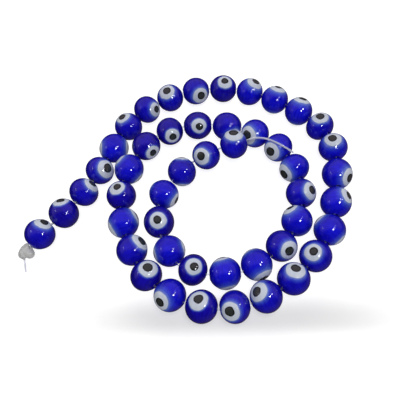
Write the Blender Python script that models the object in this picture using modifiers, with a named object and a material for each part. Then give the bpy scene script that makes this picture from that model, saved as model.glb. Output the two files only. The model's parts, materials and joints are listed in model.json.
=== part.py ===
"""A 15 inch strand of round lampwork evil-eye beads on clear nylon thread, laid in a loose spiral.

World frame: metres, +Z up, the table is z = 0 and the footprint is centred on the origin.
Bead 1 is next to the end knot, bead 48 carries the loose thread end and rests on beads 33 and 34.
Every bead turns on the thread. The last beads at each end also bend on it, so there the thread
is cut into short lengths that meet at the gaps between beads, and each length carries its bead.
"""

import math

import bpy
from mathutils import Matrix, Vector

MM = 0.001

# Beads: nominal 8 mm rounds, a little shorter along the hole than across it.
BEAD_RADIUS = 3.96 * MM  # centre to a side facet
BEAD_HALF_LENGTH = 3.85 * MM  # half axis of the rounded outline along the hole
BEAD_END_RADIUS = 1.2 * MM  # flat ring round each end of the hole
HOLE_RADIUS = 0.65 * MM
BEAD_SIDES = 16
BEAD_BANDS = 7  # odd, so that the widest band is a cylinder and its facets are flat rests

# Thread: 0.5 mm nylon monofilament.
THREAD_RADIUS = 0.25 * MM
JOINT_GAP = 0.3 * MM  # between two lengths of thread that bend on each other

# End knot: thread tied on itself and melted to a blob, with a short tail.
KNOT_CENTRE = (-44.7, -11.8, 2.15)
KNOT_RADII = (1.55, 2.3, 1.95)  # the first one towards the bead
KNOT_TURN = math.radians(40)
KNOT_TAIL = [(-45.8, -12.9, 1.0), (-45.75, -13.9, 0.6), (-45.65, -15.1, 0.35), (-45.5, -16.4, 0.3)]

# The thread's route in millimetres, seen from above. The first and last points only steer the
# ends. Each of the others is a gap between beads, and there are two beads from one to the next.
REST_HEIGHT = 3.96
FLAT_ROUTE = [
    (-56, -20), (-44, -10.5), (-31.5, 0), (-22.5, 12.5), (-13.5, 26.5), (1, 33),
    (17.5, 32), (31, 23.5), (40.5, 11), (38.5, -6), (31.5, -21), (18.5, -31), (3, -34),
    (-11.5, -26.5), (-18, -12), (-18.5, 4.5), (-8, 18.5), (8.5, 20), (23.5, 12.5),
    (29.5, -2), (24, -17.5), (10, -25.5), (-5.5, -21.5), (-9.5, -4.5),
]
RAISED_ROUTE = [(1.5, 8, 4.1), (17.5, 11, 6.9), (33, 9, 9)]
LOOSE_END = [
    (19.3, 10.9, 7.5), (21.2, 10.2, 8.0), (23.2, 9.1, 8.15), (25, 7.7, 8.15), (26.7, 6.2, 8.0),
    (28.4, 4.6, 7.75),
]
FOOTPRINT_SHIFT = Vector((1.05, 0.28, 0.0))

# Bodies that bend: how many beads at each end ride on a length of thread of their own.
OUTER_BENDS = 3
INNER_BENDS = 2


def to_world(point):
    """A point of the route, in millimetres, as a world position."""
    return (Vector(point) + FOOTPRINT_SHIFT) * MM


def smooth_middle(before, start, end, after):
    """The middle of a Catmull-Rom curve from start to end, never lower than beads can lie."""
    middle = (9 * (start + end) - before - after) / 16
    middle.z = max(middle.z, REST_HEIGHT * MM)
    return middle


def gap_points():
    """The 49 points where the thread passes from bead to bead, from the knot to the loose end."""
    route = [to_world((x, y, REST_HEIGHT)) for x, y in FLAT_ROUTE]
    route += [to_world(point) for point in RAISED_ROUTE]
    gaps = []
    for before, start, end, after in zip(route, route[1:], route[2:], route[3:]):
        gaps += [start, smooth_middle(before, start, end, after)]
    return gaps + [route[-2]]


def make_material(name, colour, roughness, transmission=0.0):
    material = bpy.data.materials.new(name)
    material.use_nodes = True
    shader = material.node_tree.nodes["Principled BSDF"]
    shader.inputs["Base Color"].default_value = (*colour, 1.0)
    shader.inputs["Roughness"].default_value = roughness
    shader.inputs["Metallic"].default_value = 0.0
    shader.inputs["Transmission Weight"].default_value = transmission
    return material


def bead_outline():
    """The bead's turned outline: down the outside, across one end and back up the hole."""
    last_angle = math.acos(BEAD_END_RADIUS / BEAD_RADIUS)
    widest = BEAD_RADIUS / math.cos(math.pi / BEAD_SIDES) / math.cos(last_angle / BEAD_BANDS)
    angles = [last_angle * (1 - 2 * k / BEAD_BANDS) for k in range(BEAD_BANDS + 1)]
    outline = [(widest * math.cos(a), BEAD_HALF_LENGTH * math.sin(a)) for a in angles]
    end = BEAD_HALF_LENGTH * math.sin(last_angle)
    return outline + [(HOLE_RADIUS, -end), (HOLE_RADIUS, end)]


def bead_mesh(glass):
    """The outline as a closed loop of edges, shared by all beads, for a Screw modifier."""
    outline = [(radius, 0.0, height) for radius, height in bead_outline()]
    count = len(outline)
    mesh = bpy.data.meshes.new("bead_outline")
    mesh.from_pydata(outline, [(k, (k + 1) % count) for k in range(count)], [])
    mesh.materials.append(glass)
    return mesh


def facing_down(hole):
    """A turn that puts +Z along the hole, with the middle of a side facet straight below."""
    down = Vector((0, 0, -1))
    level = (down - down.dot(hole) * hole).normalized()
    corner = Matrix.Rotation(math.pi / BEAD_SIDES, 3, hole) @ level
    return Matrix((corner, hole.cross(corner), hole)).transposed().to_4x4()


def add_bead(number, start, end, mesh, parent, collection):
    """Bead on the straight thread from start to end, its origin at the middle of its hole."""
    bead = bpy.data.objects.new(f"bead_{number:02d}", mesh)
    turning = bead.modifiers.new("turned", "SCREW")
    turning.axis = "Z"
    turning.steps = BEAD_SIDES
    turning.render_steps = BEAD_SIDES
    turning.merge_threshold = 0.000001
    turning.use_smooth_shade = True
    collection.objects.link(bead)
    place = Matrix.Translation((start + end) / 2) @ facing_down((end - start).normalized())
    attach(bead, parent, place)


def attach(item, parent, place):
    """Put an object or empty at a world place under its parent."""
    if parent:
        item.parent = parent
        item.matrix_parent_inverse = parent.matrix_world.inverted()
    item.matrix_world = place
    bpy.context.view_layer.update()


def add_pivot(name, point, parent, collection):
    """An empty on the axis where one length of thread bends on the next."""
    pivot = bpy.data.objects.new(name, None)
    pivot.empty_display_size = 2 * MM
    collection.objects.link(pivot)
    attach(pivot, parent, Matrix.Translation(point))
    return pivot


def add_thread(name, points, nylon, parent, collection):
    """A round length of thread through the points, with flat closed ends."""
    curve = bpy.data.curves.new(name, "CURVE")
    curve.dimensions = "3D"
    curve.bevel_depth = THREAD_RADIUS
    curve.bevel_resolution = 2
    curve.use_fill_caps = True
    curve.materials.append(nylon)
    spline = curve.splines.new("POLY")
    spline.points.add(len(points) - 1)
    for spline_point, point in zip(spline.points, points):
        spline_point.co = (*point, 1.0)
    thread = bpy.data.objects.new(name, curve)
    collection.objects.link(thread)
    attach(thread, parent, Matrix())


def cut_back(points, at_start=True, at_end=True):
    """The points with half a joint gap taken off the ends that meet another length."""
    first, last = points[0], points[-1]
    half = JOINT_GAP / 2
    if at_start:
        first = first + (points[1] - first).normalized() * half
    if at_end:
        last = last + (points[-2] - last).normalized() * half
    return [first] + points[1:-1] + [last]


def add_knot(nylon, parent, collection):
    """The melted knot as one round lump, with its tail as a thread of its own."""
    bpy.ops.mesh.primitive_uv_sphere_add(segments=24, ring_count=14, radius=1.0)
    knot = bpy.context.object
    knot.name = "end_knot"
    knot.data.materials.append(nylon)
    for vertex in knot.data.vertices:
        vertex.co = Vector(radius * part for radius, part in zip(KNOT_RADII, vertex.co)) * MM
    knot.data.shade_smooth()
    for other in knot.users_collection:
        other.objects.unlink(knot)
    collection.objects.link(knot)
    place = Matrix.Translation(to_world(KNOT_CENTRE)) @ Matrix.Rotation(KNOT_TURN, 4, "Z")
    attach(knot, parent, place)
    tail = [to_world(point) for point in KNOT_TAIL]
    add_thread("knot_tail", tail, nylon, parent, collection)


def build():
    for item in list(bpy.data.objects):
        bpy.data.objects.remove(item)
    collection = bpy.data.collections.new("evil_eye_bead_strand")
    bpy.context.scene.collection.children.link(collection)
    glass = make_material("cobalt_glass", (0.012, 0.008, 0.42), 0.05)
    nylon = make_material("clear_nylon", (0.75, 0.77, 0.78), 0.25, 0.6)
    gaps = gap_points()
    count = len(gaps) - 1
    beads = bead_mesh(glass)

    # The long middle run of thread and the beads that only turn on it.
    first, last = OUTER_BENDS, count - INNER_BENDS
    add_thread("thread_run", cut_back(gaps[first:last + 1]), nylon, None, collection)
    for k in range(first, last):
        add_bead(k + 1, gaps[k], gaps[k + 1], beads, None, collection)

    # Outer end: each length of thread bends on the one before it, down to the knot.
    parent = None
    for k in reversed(range(first)):
        parent = add_pivot(f"bend_outer_{k + 1}", gaps[k + 1], parent, collection)
        points = cut_back([gaps[k], gaps[k + 1]], at_start=k > 0)
        add_thread(f"thread_outer_{k + 1}", points, nylon, parent, collection)
        add_bead(k + 1, gaps[k], gaps[k + 1], beads, parent, collection)
    add_knot(nylon, parent, collection)

    # Inner end: the last beads lift off the strand, and the loose end lifts off the last bead.
    parent = None
    for k in range(last, count):
        parent = add_pivot(f"bend_inner_{k + 1}", gaps[k], parent, collection)
        points = cut_back([gaps[k], gaps[k + 1]])
        add_thread(f"thread_inner_{k + 1}", points, nylon, parent, collection)
        add_bead(k + 1, gaps[k], gaps[k + 1], beads, parent, collection)
    parent = add_pivot("bend_loose_end", gaps[-1], parent, collection)
    points = [gaps[-1]] + [to_world(point) for point in LOOSE_END]
    add_thread("thread_loose_end", cut_back(points, at_end=False), nylon, parent, collection)


build()
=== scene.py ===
"""The looks of a strand of evil-eye beads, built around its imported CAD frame.

World frame: metres, +Z up, the table is z = 0, and the camera looks from the -Y side and above.
Sizes here are in millimetres and angles in degrees, unless a name or a comment says otherwise.
The beads and gaps are placed from the frame's joints: each bead turns on a spin joint at its middle.
"""

import json
import math
import random

import bpy
import numpy as np
from mathutils import Matrix, Vector, noise


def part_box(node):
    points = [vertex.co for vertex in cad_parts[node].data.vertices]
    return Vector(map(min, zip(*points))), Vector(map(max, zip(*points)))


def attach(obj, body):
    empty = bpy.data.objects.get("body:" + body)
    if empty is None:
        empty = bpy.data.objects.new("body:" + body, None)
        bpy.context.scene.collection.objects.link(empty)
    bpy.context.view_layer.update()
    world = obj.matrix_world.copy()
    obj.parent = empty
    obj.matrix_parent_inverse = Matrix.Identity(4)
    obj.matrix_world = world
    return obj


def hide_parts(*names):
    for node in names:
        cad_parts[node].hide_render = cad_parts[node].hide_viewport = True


MM = 0.001
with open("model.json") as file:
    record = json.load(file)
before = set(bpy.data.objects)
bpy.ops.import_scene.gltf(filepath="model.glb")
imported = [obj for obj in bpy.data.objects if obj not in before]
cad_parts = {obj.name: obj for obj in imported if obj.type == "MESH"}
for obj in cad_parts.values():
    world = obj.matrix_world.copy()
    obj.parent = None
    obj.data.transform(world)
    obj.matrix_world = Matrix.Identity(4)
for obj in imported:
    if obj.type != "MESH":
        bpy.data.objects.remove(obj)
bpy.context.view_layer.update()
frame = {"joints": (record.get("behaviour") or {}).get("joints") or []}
JOINTS = {joint["name"]: joint for joint in frame["joints"]}
BEAD_COUNT = sum(name.startswith("spin_") for name in JOINTS)

# Beads: an outline turned round the hole.
BEAD_RADIUS = 4.0
BEAD_HALF_LENGTH = 4.3  # the longest outline, before the hole's ends cut it
BENDING_BEADS = (1, 2, 3, 4, 46, 47, 48)  # shorter, since they tilt on each other at a bend
BENDING_HALF_LENGTH = 3.85
BENDING_GAP = 0.25  # their room to the middle of the gap
NEIGHBOUR_GAP = 0.08  # the other beads' room, and more is added where the strand bends
LIP_RADIUS = 1.25  # where the round outside turns in to the dimple at the hole
HOLE_RADIUS = 0.65
BORE_HEIGHTS = (1.8, 0.0, -1.8)  # rings down the inside of the hole
LIP_RISE = 0.05
DIMPLE_DEPTH = 0.25
BEAD_SIDES = 80
BEAD_RINGS = 44  # from lip to lip
LIP_RINGS = 6
SIZE_SPREAD = 0.01
LUMP_HEIGHT = 0.035
LUMP_SCALE = 0.33
EYE_HEIGHT = 0.05  # a melted-in eye still stands a little proud
PUPIL_HEIGHT = 0.03
PUPIL_AXIS = (0.9986, 0.0523, 0.0)  # three degrees off the middle of the white

# Eye sizes: the angles from an eye's middle to the edges of its white and of its pupil.
SMALL, MEDIUM, LARGE = (31, 15), (35, 17), (39, 19)
# How bright a bead's glass is, from 0 (dark violet, tight eyes) to 1 (bright blue, milky halos).
DARK, PLAIN, BRIGHT = 0.15, 0.5, 0.85
# Each bead's eye, judged one by one: where it lies on the bead as the camera sees it, as an hour on
# a clock face and how far out it is from 0 (the middle) to 1 (the rim); its size; and the bead's
# glass. A second eye lies opposite. Bead 33's eyes are hidden in the photograph, so they are a guess.
EYES = [
    (12.5, 0.85, MEDIUM, PLAIN), (11.5, 0.9, SMALL, DARK), (1.5, 0.85, MEDIUM, PLAIN),
    (2.5, 0.55, LARGE, PLAIN), (9, 1, MEDIUM, BRIGHT), (11, 0.85, SMALL, PLAIN),
    (3, 0.7, SMALL, PLAIN), (11, 0.6, MEDIUM, PLAIN), (4.5, 0.55, MEDIUM, PLAIN),
    (12.5, 0.55, SMALL, DARK), (1, 0.85, MEDIUM, BRIGHT), (12.5, 0.95, MEDIUM, BRIGHT),
    (12.5, 0.95, MEDIUM, BRIGHT), (12, 0.75, MEDIUM, PLAIN), (12, 0.65, MEDIUM, BRIGHT),
    (3.5, 0.85, MEDIUM, BRIGHT), (2, 0.9, SMALL, BRIGHT), (10.5, 1, SMALL, BRIGHT),
    (11, 0.3, SMALL, PLAIN), (12.5, 0.6, MEDIUM, PLAIN), (10, 0.6, MEDIUM, PLAIN),
    (7.5, 0.45, MEDIUM, PLAIN), (11, 0.45, MEDIUM, DARK), (8, 0.75, MEDIUM, BRIGHT),
    (12.5, 0.5, MEDIUM, DARK), (1.5, 0.9, LARGE, PLAIN), (2, 1, LARGE, BRIGHT),
    (11, 0.65, SMALL, DARK), (10.5, 1, SMALL, BRIGHT), (4.5, 0.7, SMALL, DARK),
    (5, 0.4, SMALL, DARK), (3.5, 0.1, SMALL, DARK), (5, 0.85, MEDIUM, PLAIN),
    (8.5, 0.6, LARGE, BRIGHT), (8, 0.65, LARGE, BRIGHT), (8, 0.85, LARGE, BRIGHT),
    (2.5, 0.75, MEDIUM, PLAIN), (11, 0.95, SMALL, BRIGHT), (4, 0.6, MEDIUM, PLAIN),
    (5, 0.95, LARGE, BRIGHT), (5.5, 1, MEDIUM, BRIGHT), (12.5, 0.25, SMALL, DARK),
    (2.5, 1, SMALL, BRIGHT), (11, 0.15, SMALL, DARK), (4, 0.95, SMALL, BRIGHT),
    (12, 1, SMALL, PLAIN), (8.5, 0.4, MEDIUM, PLAIN), (12, 0.8, LARGE, PLAIN),
]
HALO_ANGLE = (5, 34)  # how far past the white the halo fades out, at glow 0 and at glow 1

# Thread: nylon monofilament. The loose end repeats the route of the CAD node.
THREAD_RADIUS = 0.25
THREAD_SIDES = 20
ROUTE_SHIFT = Vector((1.05, 0.28, 0.0)) * MM
LOOSE_END = [
    (19.3, 10.9, 7.5), (21.2, 10.2, 8.0), (23.2, 9.1, 8.15), (25, 7.7, 8.15), (26.7, 6.2, 8.0),
    (28.4, 4.6, 7.75),
]
KNOT_TAIL = [(-45.8, -12.9, 1.0), (-45.75, -13.9, 0.6), (-45.65, -15.1, 0.35), (-45.5, -16.4, 0.3)]
TAIL_RADII = (0.25, 0.19)  # from the knot to the tip
CORNER_LENGTH = 0.6  # how far from a gap the run starts to turn

# Knot: places from the middle of its CAD node, of round lumps and of one turn of thread.
KNOT_LUMPS = [  # place and radius
    ((-0.25, 1.5, 0.2), 0.8), ((-0.75, -0.2, -0.1), 1.35), ((0.7, -0.5, -0.1), 1.3), ((0, 0.2, 0), 1.6),
]
KNOT_STRAND = [
    (-0.1, 2.1, 0.3), (-1.0, 1.3, 0.5), (-1.75, 0.2, 0.3), (-1.9, -0.8, -0.2), (-1.1, -1.3, -0.9),
]
STRAND_RADIUS = 0.36
NECK_RADII = (0.9, 0.3)  # from the middle of the knot to bead 1
MELT_VOXEL = 0.09
MELT_PASSES = 14

FLOOR_HEIGHT = -0.17  # the eyes' relief reaches a little lower than the CAD beads
FLOOR_HALF_WIDTH = 1500

# Camera: at the photograph's viewing angle, close to the strand.
CAMERA_TARGET = Vector((3.10, -3.85, 3.96)) * MM
CAMERA_DISTANCE = 125.8
CAMERA_ELEVATION = 61.9
CAMERA_ROLL = -7.5
CAMERA_LENS = 42.5
SENSOR_WIDTH = 36

COOL_WHITE = (0.9, 0.93, 1.0)  # the lamps that only show in reflections


# ---------------------------------------------------------------- nodes

def add_node(tree, kind, inputs=(), **settings):
    """A shader node. A socket among the inputs is linked, and any other value is set."""
    made = tree.nodes.new(kind)
    for name, value in settings.items():
        setattr(made, name, value)
    for key, value in dict(inputs).items():
        if isinstance(value, bpy.types.NodeSocket):
            tree.links.new(value, made.inputs[key])
        else:
            made.inputs[key].default_value = value
    return made


def attribute(tree, name):
    return add_node(tree, "ShaderNodeAttribute", attribute_name=name)


def math_out(tree, operation, *values):
    return add_node(tree, "ShaderNodeMath", enumerate(values), operation=operation).outputs[0]


def vector_out(tree, operation, *values):
    return add_node(tree, "ShaderNodeVectorMath", enumerate(values), operation=operation).outputs[0]


def soft_step(tree, value, start, end):
    """0 before start and 1 after end, smoothly between. Works downwards if end is less."""
    names = {"Value": value, "From Min": start, "From Max": end}
    made = add_node(tree, "ShaderNodeMapRange", names, interpolation_type="SMOOTHSTEP")
    return made.outputs["Result"]


def mix_colour(tree, factor, first, second):
    inputs = {0: factor, 6: first, 7: second}
    return add_node(tree, "ShaderNodeMix", inputs, data_type="RGBA").outputs[2]


def noise_node(tree, vector, scale, detail=2.0, distortion=0.0):
    inputs = {"Vector": vector, "Scale": scale, "Detail": detail, "Distortion": distortion}
    return add_node(tree, "ShaderNodeTexNoise", inputs)


def new_material(name):
    material = bpy.data.materials.new(name)
    material.use_nodes = True
    return material, material.node_tree, material.node_tree.nodes["Principled BSDF"]


# ---------------------------------------------------------------- materials

def angle_from(tree, direction, axis):
    """Degrees between a direction and the nearer end of an axis."""
    dot = add_node(tree, "ShaderNodeVectorMath", {0: direction, 1: axis}, operation="DOT_PRODUCT")
    size = math_out(tree, "ABSOLUTE", dot.outputs["Value"])
    return math_out(tree, "DEGREES", math_out(tree, "ARCCOSINE", size))


def make_bead_glass():
    """Cobalt glass with fused eyes. Three attributes of the beads place the pattern:
    eye_point, a point in the eye's own axes with an eye at each end of X; glass_point, where
    in the glass's streaks it lies; eye_sizes, the degrees to the edges of white, pupil and halo."""
    material, tree, shader = new_material("evil_eye_glass")
    glass_point = attribute(tree, "glass_point").outputs["Vector"]
    sizes = add_node(tree, "ShaderNodeSeparateXYZ", {0: attribute(tree, "eye_sizes").outputs["Vector"]})
    white_edge, pupil_edge, halo_width = sizes.outputs
    glow = attribute(tree, "glow").outputs["Fac"]

    # The eye's outlines wander a little, as melted glass does.
    wander = noise_node(tree, glass_point, 0.45, 1.0).outputs["Color"]
    wander = vector_out(tree, "SUBTRACT", wander, (0.5, 0.5, 0.5))
    wander = add_node(tree, "ShaderNodeVectorMath", {0: wander, "Scale": 0.12}, operation="SCALE").outputs[0]
    unit = vector_out(tree, "NORMALIZE", attribute(tree, "eye_point").outputs["Vector"])
    direction = vector_out(tree, "NORMALIZE", vector_out(tree, "ADD", unit, wander))
    from_white = angle_from(tree, direction, (1.0, 0.0, 0.0))
    from_pupil = angle_from(tree, direction, PUPIL_AXIS)

    # Blue glass: wound streaks round the hole, and cloudy patches.
    stretched = vector_out(tree, "MULTIPLY", glass_point, (0.22, 0.22, 1.6))
    streaks = noise_node(tree, stretched, 1.4, 4.0, 0.6).outputs["Fac"]
    clouds = noise_node(tree, glass_point, 0.35, 2.0).outputs["Fac"]
    dark = mix_colour(tree, glow, (0.0040, 0.0010, 0.24, 1), (0.0030, 0.0030, 0.56, 1))
    light = mix_colour(tree, glow, (0.010, 0.004, 0.38, 1), (0.008, 0.010, 0.76, 1))
    variety = math_out(tree, "ADD", streaks, math_out(tree, "MULTIPLY", clouds, 0.8))
    blue = mix_colour(tree, soft_step(tree, variety, 0.62, 1.15), dark, light)
    # Painted shade: the blue is darkened towards the rim as each view sees it, partly a deep-glass look and
    # partly the falloff of light towards the rim.
    facing = add_node(tree, "ShaderNodeLayerWeight", {"Blend": 0.5}).outputs["Facing"]
    blue = mix_colour(tree, math_out(tree, "MULTIPLY", facing, 0.7), blue, (0.002, 0.001, 0.04, 1))

    # Halo: the white seen through a film of blue, thinning out from the edge.
    past_white = math_out(tree, "SUBTRACT", from_white, white_edge)
    near_width = math_out(tree, "MULTIPLY_ADD", glow, 9.0, 4.0)
    near = soft_step(tree, math_out(tree, "DIVIDE", past_white, near_width), 1.0, -0.2)
    wide = soft_step(tree, math_out(tree, "DIVIDE", past_white, halo_width), 1.0, 0.0)
    wide = math_out(tree, "MULTIPLY", wide, math_out(tree, "MULTIPLY_ADD", streaks, 0.7, 0.3))
    colour = mix_colour(tree, wide, blue, (0.07, 0.13, 0.62, 1))
    colour = mix_colour(tree, near, colour, (0.15, 0.22, 0.56, 1))

    # White enamel, a little uneven, and the pupil with its blacker edge.
    milk = noise_node(tree, glass_point, 1.1, 3.0).outputs["Fac"]
    white = mix_colour(tree, milk, (0.50, 0.55, 0.65, 1), (0.62, 0.66, 0.74, 1))
    colour = mix_colour(tree, soft_step(tree, past_white, 1.5, -1.8), colour, white)
    ring = soft_step(tree, math_out(tree, "SUBTRACT", from_pupil, pupil_edge), -7.0, -1.0)
    pupil = mix_colour(tree, ring, (0.028, 0.033, 0.030, 1), (0.003, 0.004, 0.003, 1))
    black = soft_step(tree, math_out(tree, "SUBTRACT", from_pupil, pupil_edge), 1.2, -1.2)
    colour = mix_colour(tree, black, colour, pupil)
    tree.links.new(colour, shader.inputs["Base Color"])

    # Fire-polished skin: glossy, with faint waves, pits and a handled bloom.
    skin = noise_node(tree, glass_point, 2.6, 4.0).outputs["Fac"]
    roughness = math_out(tree, "MULTIPLY_ADD", soft_step(tree, skin, 0.4, 0.75), 0.05, 0.025)
    tree.links.new(roughness, shader.inputs["Roughness"])
    height = math_out(tree, "MULTIPLY_ADD", streaks, 0.6, math_out(tree, "MULTIPLY", skin, 0.15))
    bump = add_node(tree, "ShaderNodeBump", {"Height": height, "Strength": 0.25, "Distance": 0.00004})
    tree.links.new(bump.outputs["Normal"], shader.inputs["Normal"])
    shader.inputs["IOR"].default_value = 1.52
    return material


def make_nylon(name, clearness):
    """Clear drawn nylon with fine lines along it. The ends that lie free are made less clear, so that they
    look whiter.
    """
    material, tree, shader = new_material(name)
    along = attribute(tree, "thread_point").outputs["Vector"]
    lines = noise_node(tree, vector_out(tree, "MULTIPLY", along, (12.0, 12.0, 0.5)), 1.0, 3.0).outputs["Fac"]
    colour = mix_colour(tree, lines, (0.82, 0.84, 0.97, 1), (0.96, 0.97, 1.0, 1))
    tree.links.new(colour, shader.inputs["Base Color"])
    roughness = math_out(tree, "MULTIPLY_ADD", lines, 0.10, 0.04)
    tree.links.new(roughness, shader.inputs["Roughness"])
    bump = add_node(tree, "ShaderNodeBump", {"Height": lines, "Strength": 0.3, "Distance": 0.00002})
    tree.links.new(bump.outputs["Normal"], shader.inputs["Normal"])
    shader.inputs["Transmission Weight"].default_value = clearness
    shader.inputs["IOR"].default_value = 1.53
    return material


def make_melted_nylon():
    """Nylon that went milky when the knot was melted."""
    material, tree, shader = new_material("milky_melted_nylon")
    point = attribute(tree, "thread_point").outputs["Vector"]
    clouds = noise_node(tree, point, 0.9, 4.0, 0.5).outputs["Fac"]
    colour = mix_colour(tree, clouds, (0.50, 0.50, 0.49, 1), (0.74, 0.73, 0.73, 1))
    tree.links.new(colour, shader.inputs["Base Color"])
    roughness = math_out(tree, "MULTIPLY_ADD", clouds, 0.25, 0.15)
    tree.links.new(roughness, shader.inputs["Roughness"])
    bump = add_node(tree, "ShaderNodeBump", {"Height": clouds, "Strength": 0.2, "Distance": 0.00006})
    tree.links.new(bump.outputs["Normal"], shader.inputs["Normal"])
    shader.inputs["Transmission Weight"].default_value = 0.08
    shader.inputs["IOR"].default_value = 1.53
    return material


# ---------------------------------------------------------------- beads

def bead_axes(number):
    """The bead's own place: origin at its middle, Z along its hole, X level with straight up."""
    joint = JOINTS[f"spin_{number:02d}"]
    hole = Vector(joint["axis"]).normalized()
    up = Vector((0, 0, 1))
    up = (up - up.dot(hole) * hole).normalized()
    place = Matrix((up, hole.cross(up), hole)).transposed().to_4x4()
    return Matrix.Translation(joint["pos_m"]) @ place


def bead_outline(half_room, longest):
    """Distances from the hole's axis and heights along it: outside, lips and bore, as a loop.
    The bead's ends stay within half the room on the thread, and within its longest outline."""
    last = math.acos(LIP_RADIUS / BEAD_RADIUS)
    half_length = min(longest, (half_room - LIP_RISE) / math.sin(last))
    steps = np.linspace(-last, last, BEAD_RINGS)
    outline = [(BEAD_RADIUS * math.cos(a), half_length * math.sin(a)) for a in steps]
    lip_height = half_length * math.sin(last)
    lip = []
    for turn in np.linspace(0, math.pi / 2, LIP_RINGS + 1)[1:]:
        radius = HOLE_RADIUS + (LIP_RADIUS - HOLE_RADIUS) * math.cos(turn)
        rise = LIP_RISE * math.sin(2 * turn) - DIMPLE_DEPTH * (1 - math.cos(turn)) ** 2
        lip.append((radius, lip_height + rise))
    bore = [(HOLE_RADIUS, height) for height in BORE_HEIGHTS]
    far_lip = [(radius, -height) for radius, height in reversed(lip)]
    return outline + lip + bore + far_lip


def bead_points(outline):
    """The turned outline as an array of points, one ring after another."""
    turns = np.arange(BEAD_SIDES) * 2 * math.pi / BEAD_SIDES
    rings = [(radius * np.cos(turns), radius * np.sin(turns), np.full(BEAD_SIDES, height))
             for radius, height in outline]
    return np.concatenate([np.stack(ring, axis=1) for ring in rings])


def turned_faces(ring_count, sides):
    """Quads of a ring of rings: the last ring joins the first."""
    faces = []
    for ring in range(ring_count):
        low, high = ring * sides, (ring + 1) % ring_count * sides
        for side in range(sides):
            after = (side + 1) % sides
            faces.append((low + side, low + after, high + after, high + side))
    return faces


def rise_over(angle, edge, softness):
    """1 inside an eye's edge and 0 outside, smoothly between."""
    t = np.clip((edge + softness - angle) / (2 * softness), 0, 1)
    return t * t * (3 - 2 * t)


def set_attribute(mesh, name, kind, values):
    layer = mesh.attributes.new(name, kind, "POINT")
    field = "vector" if kind == "FLOAT_VECTOR" else "value"
    layer.data.foreach_set(field, np.asarray(values, np.float32).ravel())


def lumps(points, seed):
    """Slow, uneven swelling of hand-wound glass, from -1 to 1 at each point."""
    shift = Vector((seed * 7.3, seed * 3.1, seed * 1.7))
    return np.array([noise.noise(Vector(p) * LUMP_SCALE + shift) for p in points])


def eye_way(hour, reach, middle):
    """The way from a bead's middle to its eye, from where the camera sees the eye on the bead."""
    right, _, back = camera_axes()
    sight = (CAMERA_TARGET + back * CAMERA_DISTANCE * MM - middle).normalized()
    across = (right - right.dot(sight) * sight).normalized()
    clock = math.radians(hour * 30)
    outward = math.sin(clock) * across + math.cos(clock) * sight.cross(across)
    return reach * outward + math.sqrt(1 - reach ** 2) * sight


def add_bead(number, pitch, bend, material):
    hour, reach, (white, pupil), glow = EYES[number - 1]
    place = bead_axes(number)
    draw = random.Random(number)
    roll = draw.uniform(0, 2 * math.pi)
    size = 1 + draw.uniform(-SIZE_SPREAD, SIZE_SPREAD)
    halo = HALO_ANGLE[0] + (HALO_ANGLE[1] - HALO_ANGLE[0]) * glow

    # The eye's own axes, with the eye at +X, and rolled so that no two pupils sit alike.
    way = place.to_3x3().transposed() @ eye_way(hour, reach, place.translation)
    eye_axes = way.to_track_quat("X", "Z").to_matrix() @ Matrix.Rotation(roll, 3, "X")
    # Where the strand bends, the lips lean in to each other on its inner side.
    longest, gap = BEAD_HALF_LENGTH, NEIGHBOUR_GAP + LIP_RADIUS * math.tan(bend / 2)
    if number in BENDING_BEADS:
        longest, gap = BENDING_HALF_LENGTH, BENDING_GAP
    outline = bead_outline((pitch / 2 - gap) / size, longest)
    points = bead_points(outline) * size
    eye_points = points @ np.array(eye_axes)
    distance = np.linalg.norm(points, axis=1)
    angle = np.degrees(np.arccos(np.clip(np.abs(eye_points[:, 0]) / distance, 0, 1)))
    from_hole = np.hypot(points[:, 0], points[:, 1])
    skin = np.clip((from_hole - HOLE_RADIUS) / (LIP_RADIUS - HOLE_RADIUS), 0, 1)  # 0 in the bore
    relief = EYE_HEIGHT * rise_over(angle, white, 5) + PUPIL_HEIGHT * rise_over(angle, pupil, 3)
    relief = (relief + LUMP_HEIGHT * lumps(points, number)) * skin
    points = points * (1 + relief / distance)[:, None]

    mesh = bpy.data.meshes.new(f"lampwork_bead_{number:02d}")
    mesh.from_pydata((points * MM).tolist(), [], turned_faces(len(outline), BEAD_SIDES))
    mesh.shade_smooth()
    set_attribute(mesh, "eye_point", "FLOAT_VECTOR", eye_points)
    set_attribute(mesh, "glass_point", "FLOAT_VECTOR", points + number * 11.0)
    set_attribute(mesh, "eye_sizes", "FLOAT_VECTOR", np.tile((white, pupil, halo), (len(points), 1)))
    set_attribute(mesh, "glow", "FLOAT", np.full(len(points), glow))
    mesh.materials.append(material)
    bead = bpy.data.objects.new(mesh.name, mesh)
    bpy.context.scene.collection.objects.link(bead)
    bead.matrix_world = place
    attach(bead, f"turning_bead_{number:02d}")
    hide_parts(f"bead_{number:02d}")


def add_beads(gaps):
    material = make_bead_glass()
    ways = [after - before for before, after in zip(gaps, gaps[1:])]
    for number, way in enumerate(ways, 1):
        beside = ways[max(number - 2, 0):number + 1]
        bend = max(way.angle(other) for other in beside)
        add_bead(number, way.length / MM, bend, material)


# ---------------------------------------------------------------- thread and knot

def gap_points():
    """The points where the thread passes from bead to bead, from the knot to the loose end.
    A bead's middle lies halfway between its two gaps, so each gap gives the next."""
    gaps = [None] * (BEAD_COUNT + 1)
    gaps[1] = Vector(JOINTS["bend_outer_1"]["pos_m"])
    gaps[0] = 2 * Vector(JOINTS["spin_01"]["pos_m"]) - gaps[1]
    for number in range(2, BEAD_COUNT + 1):
        gaps[number] = 2 * Vector(JOINTS[f"spin_{number:02d}"]["pos_m"]) - gaps[number - 1]
    return gaps


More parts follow.
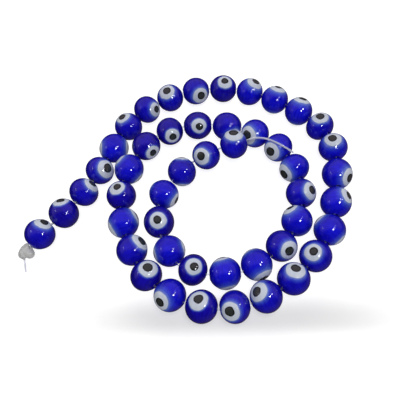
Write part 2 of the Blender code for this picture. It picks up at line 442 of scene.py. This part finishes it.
def smooth_line(points, per_step):
    """A Catmull-Rom curve through the points."""
    ends = [2 * points[0] - points[1], *points, 2 * points[-1] - points[-2]]
    line = []
    for a, b, c, d in zip(ends, ends[1:], ends[2:], ends[3:]):
        for k in range(per_step):
            t = k / per_step
            line.append((2 * b + t * (c - a) + t * t * (2 * a - 5 * b + 4 * c - d)
                         + t ** 3 * (3 * b - a - 3 * c + d)) / 2)
    return line + [points[-1]]


def round_end(start, direction, radius):
    """The points and radii of a half ball that closes a tube, from its tip to its full width."""
    angles = [math.radians(a) for a in (86, 65, 45, 22)]
    return [(start - direction * radius * math.sin(a), radius * math.cos(a)) for a in angles]


def tube_mesh(name, line, radii, sides=THREAD_SIDES):
    """A tube with half-ball ends along a line, in metres, radii in metres."""
    first = (line[1] - line[0]).normalized()
    last = (line[-2] - line[-1]).normalized()
    rings = round_end(line[0], first, radii[0]) + list(zip(line, radii))
    rings += reversed(round_end(line[-1], last, radii[-1]))
    points, coordinates = [], []
    side = first.orthogonal().normalized()
    length = 0.0
    for index, (centre, radius) in enumerate(rings):
        before, after = rings[max(index - 1, 0)][0], rings[min(index + 1, len(rings) - 1)][0]
        along = (after - before).normalized()
        side = (side - side.dot(along) * along).normalized()
        length += (centre - before).length
        for k in range(sides):
            turn = 2 * math.pi * k / sides
            out = math.cos(turn) * side + math.sin(turn) * along.cross(side)
            points.append(centre + radius * out)
            coordinates.append((math.cos(turn), math.sin(turn), length / MM))
    faces = []
    for ring in range(len(rings) - 1):
        for k in range(sides):
            a, b = ring * sides + k, ring * sides + (k + 1) % sides
            faces.append((a, b, b + sides, a + sides))
    faces.append(tuple(reversed(range(sides))))
    faces.append(tuple(range(len(points) - sides, len(points))))
    mesh = bpy.data.meshes.new(name)
    mesh.from_pydata(points, [], faces)
    mesh.shade_smooth()
    set_attribute(mesh, "thread_point", "FLOAT_VECTOR", coordinates)
    return mesh


def add_thread(name, line, body, nodes, material, radii=None):
    radii = radii or [THREAD_RADIUS * MM] * len(line)
    mesh = tube_mesh(name, line, radii)
    mesh.materials.append(material)
    thread = bpy.data.objects.new(name, mesh)
    bpy.context.scene.collection.objects.link(thread)
    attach(thread, body)
    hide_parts(*nodes)


def rounded_corners(gaps):
    """The run's line: straight through each bead and round in a short curve at each gap."""
    line = [gaps[0]]
    for before, corner, after in zip(gaps, gaps[1:], gaps[2:]):
        start = corner + (before - corner).normalized() * CORNER_LENGTH * MM
        end = corner + (after - corner).normalized() * CORNER_LENGTH * MM
        line += [start, (start + 2 * corner + end) / 4, end]
    return line + [gaps[-1]]


def add_threads(gaps, material, whiter):
    """Each length of thread meets the next in a ball on their joint, so that it bends there."""
    add_thread("nylon_run", rounded_corners(gaps[3:47]), "thread", ["thread_run"], material)
    for number in (1, 2, 3):
        add_thread(f"nylon_outer_{number}", [gaps[number - 1], gaps[number]],
                   f"outer_length_{number}", [f"thread_outer_{number}"], material)
    for number in (47, 48):
        add_thread(f"nylon_inner_{number}", [gaps[number - 1], gaps[number]],
                   f"inner_length_{number}", [f"thread_inner_{number}"], material)
    loose = [gaps[-1]] + [Vector(p) * MM + ROUTE_SHIFT for p in LOOSE_END]
    add_thread("nylon_loose_end", smooth_line(loose, 8), "loose_end", ["thread_loose_end"], whiter)


def merged_mesh(name, meshes):
    """The meshes melted into one skin, built in millimetres so that the voxels aren't tiny."""
    joined = bpy.data.meshes.new(name)
    points, faces = [], []
    for mesh in meshes:
        start = len(points)
        points += [v.co / MM for v in mesh.vertices]
        faces += [tuple(start + v for v in face.vertices) for face in mesh.polygons]
    joined.from_pydata(points, [], faces)
    item = bpy.data.objects.new(name, joined)
    bpy.context.scene.collection.objects.link(item)
    remesh = item.modifiers.new("melt", "REMESH")
    remesh.mode = "VOXEL"
    remesh.voxel_size = MELT_VOXEL
    smooth = item.modifiers.new("flow", "SMOOTH")
    smooth.factor = 0.5
    smooth.iterations = MELT_PASSES
    made = bpy.data.meshes.new_from_object(item.evaluated_get(bpy.context.evaluated_depsgraph_get()))
    bpy.data.objects.remove(item)
    points = [v.co.copy() for v in made.vertices]
    made.transform(Matrix.Scale(MM, 4))
    made.shade_smooth()
    set_attribute(made, "thread_point", "FLOAT_VECTOR", points)
    return made


def ball_mesh(centre, radius):
    """A round lump, as a short fat tube between its two half-ball ends."""
    side = Vector((0, 0, 0.02 * MM))
    return tube_mesh("lump", [centre - side, centre + side], [radius] * 2, 32)


def add_knot(gaps, nylon, melted):
    low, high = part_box("end_knot")
    middle = (low + high) / 2
    parts = [ball_mesh(middle + Vector(at) * MM, radius * MM) for at, radius in KNOT_LUMPS]
    strand = smooth_line([middle + Vector(at) * MM for at in KNOT_STRAND], 8)
    parts.append(tube_mesh("strand", strand, [STRAND_RADIUS * MM] * len(strand), 16))
    parts.append(tube_mesh("neck", [middle, gaps[0]], [radius * MM for radius in NECK_RADII], 16))
    mesh = merged_mesh("melted_knot", parts)
    mesh.materials.append(melted)
    knot = bpy.data.objects.new("melted_knot", mesh)
    bpy.context.scene.collection.objects.link(knot)
    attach(knot, "outer_length_1")
    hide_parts("end_knot")
    tail = smooth_line([Vector(p) * MM + ROUTE_SHIFT for p in KNOT_TAIL], 6)
    thinning = [float(radius) * MM for radius in np.linspace(*TAIL_RADII, len(tail))]
    add_thread("nylon_knot_tail", tail, "outer_length_1", ["knot_tail"], nylon, thinning)


# ---------------------------------------------------------------- stage

def camera_axes():
    """The camera's right, up and back directions."""
    lift = math.radians(CAMERA_ELEVATION)
    back = Vector((0, -math.cos(lift), math.sin(lift)))
    right = Vector((1, 0, 0))
    level_up = back.cross(right)
    roll = math.radians(CAMERA_ROLL)
    tilted = right * math.cos(roll) + level_up * math.sin(roll)
    return tilted, back.cross(tilted), back


def add_camera():
    right, up, back = camera_axes()
    data = bpy.data.cameras.new("camera")
    data.lens = CAMERA_LENS
    data.sensor_width = SENSOR_WIDTH
    data.clip_start = 0.005
    camera = bpy.data.objects.new("camera", data)
    bpy.context.scene.collection.objects.link(camera)
    place = Matrix((right, up, back)).transposed().to_4x4()
    camera.matrix_world = Matrix.Translation(CAMERA_TARGET + back * CAMERA_DISTANCE * MM) @ place
    bpy.context.scene.camera = camera


def add_lamp(name, direction, distance, size, radiance, colour=(1, 1, 1), glossy=True, diffuse=True):
    """A rectangular lamp at a direction from the middle of the strand, facing it."""
    width, height = size[0] * MM, size[1] * MM
    data = bpy.data.lights.new(name, "AREA")
    data.shape = "RECTANGLE"
    data.size, data.size_y = width, height
    data.energy = radiance * width * height * math.pi ** 2
    data.color = colour
    lamp = bpy.data.objects.new(name, data)
    bpy.context.scene.collection.objects.link(lamp)
    lamp.location = CAMERA_TARGET + direction.normalized() * distance * MM
    lamp.rotation_euler = direction.to_track_quat("Z", "Y").to_euler()
    lamp.visible_glossy = glossy
    lamp.visible_transmission = glossy
    lamp.visible_diffuse = diffuse
    lamp.visible_camera = False


def towards(right_degrees, up_degrees):
    """A direction that many degrees from the camera's, to its right and up."""
    right, up, back = camera_axes()
    angle = math.radians(math.hypot(right_degrees, up_degrees))
    side = (right * right_degrees + up * up_degrees).normalized()
    return back * math.cos(angle) + side * math.sin(angle)


def add_lamps():
    add_lamp("front_box", towards(2, 12), 400, (200, 200), 2.3, glossy=False)
    add_lamp("back_box", Vector((0.1, 0.8, 0.6)), 420, (300, 160), 1.2, glossy=False)
    add_lamp("key", towards(23, 0), 150, (24, 20), 14, COOL_WHITE, diffuse=False)
    add_lamp("strip", towards(35, 17), 170, (70, 4), 2.6, COOL_WHITE, diffuse=False)
    for name, right in (("dot_left", 30), ("dot_right", 40)):
        add_lamp(name, towards(right, 17), 170, (7, 7), 26, COOL_WHITE, diffuse=False)
    add_lamp("left_strip", towards(-60, 14), 190, (46, 8), 2.2, COOL_WHITE, diffuse=False)


def add_world():
    """Even room light. Glossy surfaces mirror a bright ceiling behind the camera's line of sight,
    a dim table on the right and below, and a dark room in front."""
    world = bpy.data.worlds.new("studio")
    bpy.context.scene.world = world
    world.use_nodes = True
    tree = world.node_tree
    background = tree.nodes["Background"]
    direction = add_node(tree, "ShaderNodeTexCoord").outputs["Generated"]
    x, y, z = add_node(tree, "ShaderNodeSeparateXYZ", {0: direction}).outputs
    ceiling = math_out(tree, "MULTIPLY", soft_step(tree, y, -0.5, 0.0), soft_step(tree, z, 0.0, 0.3))
    below = math_out(tree, "MULTIPLY", soft_step(tree, z, 0.1, -0.2), soft_step(tree, x, -0.8, 0.5))
    mirrored = math_out(tree, "MULTIPLY_ADD", ceiling, 0.46, 0.035)
    mirrored = math_out(tree, "ADD", mirrored, math_out(tree, "MULTIPLY", below, 0.12))
    path = add_node(tree, "ShaderNodeLightPath").outputs
    lit = math_out(tree, "MULTIPLY_ADD", ceiling, 0.05, 0.22)
    lit = math_out(tree, "ADD", lit, math_out(tree, "MULTIPLY", soft_step(tree, z, 0.4, -0.2), 0.5))
    share = add_node(tree, "ShaderNodeMix", {0: path["Is Glossy Ray"], 2: lit, 3: mirrored}).outputs[0]
    tree.links.new(math_out(tree, "MAXIMUM", share, path["Is Camera Ray"]), background.inputs["Strength"])
    colour = mix_colour(tree, path["Is Glossy Ray"], (1, 1, 1, 1), (1.0, 0.72, 1.0, 1))
    tree.links.new(colour, background.inputs["Color"])


def add_floor():
    """A plain pale table that gives some light of its own, so that it looks white.
    The shadow in front of the strand is part of its material and isn't cast by the beads."""
    material, tree, shader = new_material("pale_table")
    place = add_node(tree, "ShaderNodeTexCoord").outputs["Object"]
    grain = noise_node(tree, place, 300.0, 3.0).outputs["Fac"]
    colour = mix_colour(tree, grain, (0.34, 0.34, 0.35, 1), (0.37, 0.37, 0.37, 1))
    tree.links.new(colour, shader.inputs["Base Color"])
    shader.inputs["Roughness"].default_value = 0.7
    shader.inputs["Specular IOR Level"].default_value = 0.1
    along, depth = add_node(tree, "ShaderNodeSeparateXYZ", {0: place}).outputs[:2]
    # The shadow's place, in metres: a broad band along the front of the strand.
    depth = math_out(tree, "MULTIPLY_ADD", along, 0.12, depth)
    behind, front = soft_step(tree, depth, -0.026, -0.034), soft_step(tree, depth, -0.041, -0.035)
    band = math_out(tree, "MULTIPLY", behind, front)
    from_middle = math_out(tree, "ABSOLUTE", math_out(tree, "SUBTRACT", along, 0.009))
    band = math_out(tree, "MULTIPLY", band, soft_step(tree, from_middle, 0.052, 0.018))
    distance = add_node(tree, "ShaderNodeVectorMath", {0: place}, operation="LENGTH").outputs["Value"]
    glow = math_out(tree, "MULTIPLY_ADD", soft_step(tree, distance, 0.1, 0.4), 0.3, 0.85)
    glow = math_out(tree, "MULTIPLY_ADD", band, -0.38, glow)
    shader.inputs["Emission Color"].default_value = (1, 1, 1, 1)
    tree.links.new(glow, shader.inputs["Emission Strength"])
    mesh = bpy.data.meshes.new("table")
    half = FLOOR_HALF_WIDTH
    corners = [(-half, -half), (half, -half), (half, half), (-half, half)]
    mesh.from_pydata([(x * MM, y * MM, FLOOR_HEIGHT * MM) for x, y in corners], [], [(0, 1, 2, 3)])
    mesh.materials.append(material)
    floor = bpy.data.objects.new("table", mesh)
    bpy.context.scene.collection.objects.link(floor)
    floor.visible_glossy = False
    floor.visible_diffuse = False


# ---------------------------------------------------------------- all together

add_camera()
route = gap_points()
add_beads(route)
free_nylon = make_nylon("less_clear_nylon", 0.55)
add_threads(route, make_nylon("clear_drawn_nylon", 0.9), free_nylon)
add_knot(route, free_nylon, make_melted_nylon())
add_floor()
add_lamps()
add_world()
bpy.context.scene.view_settings.view_transform = "Standard"
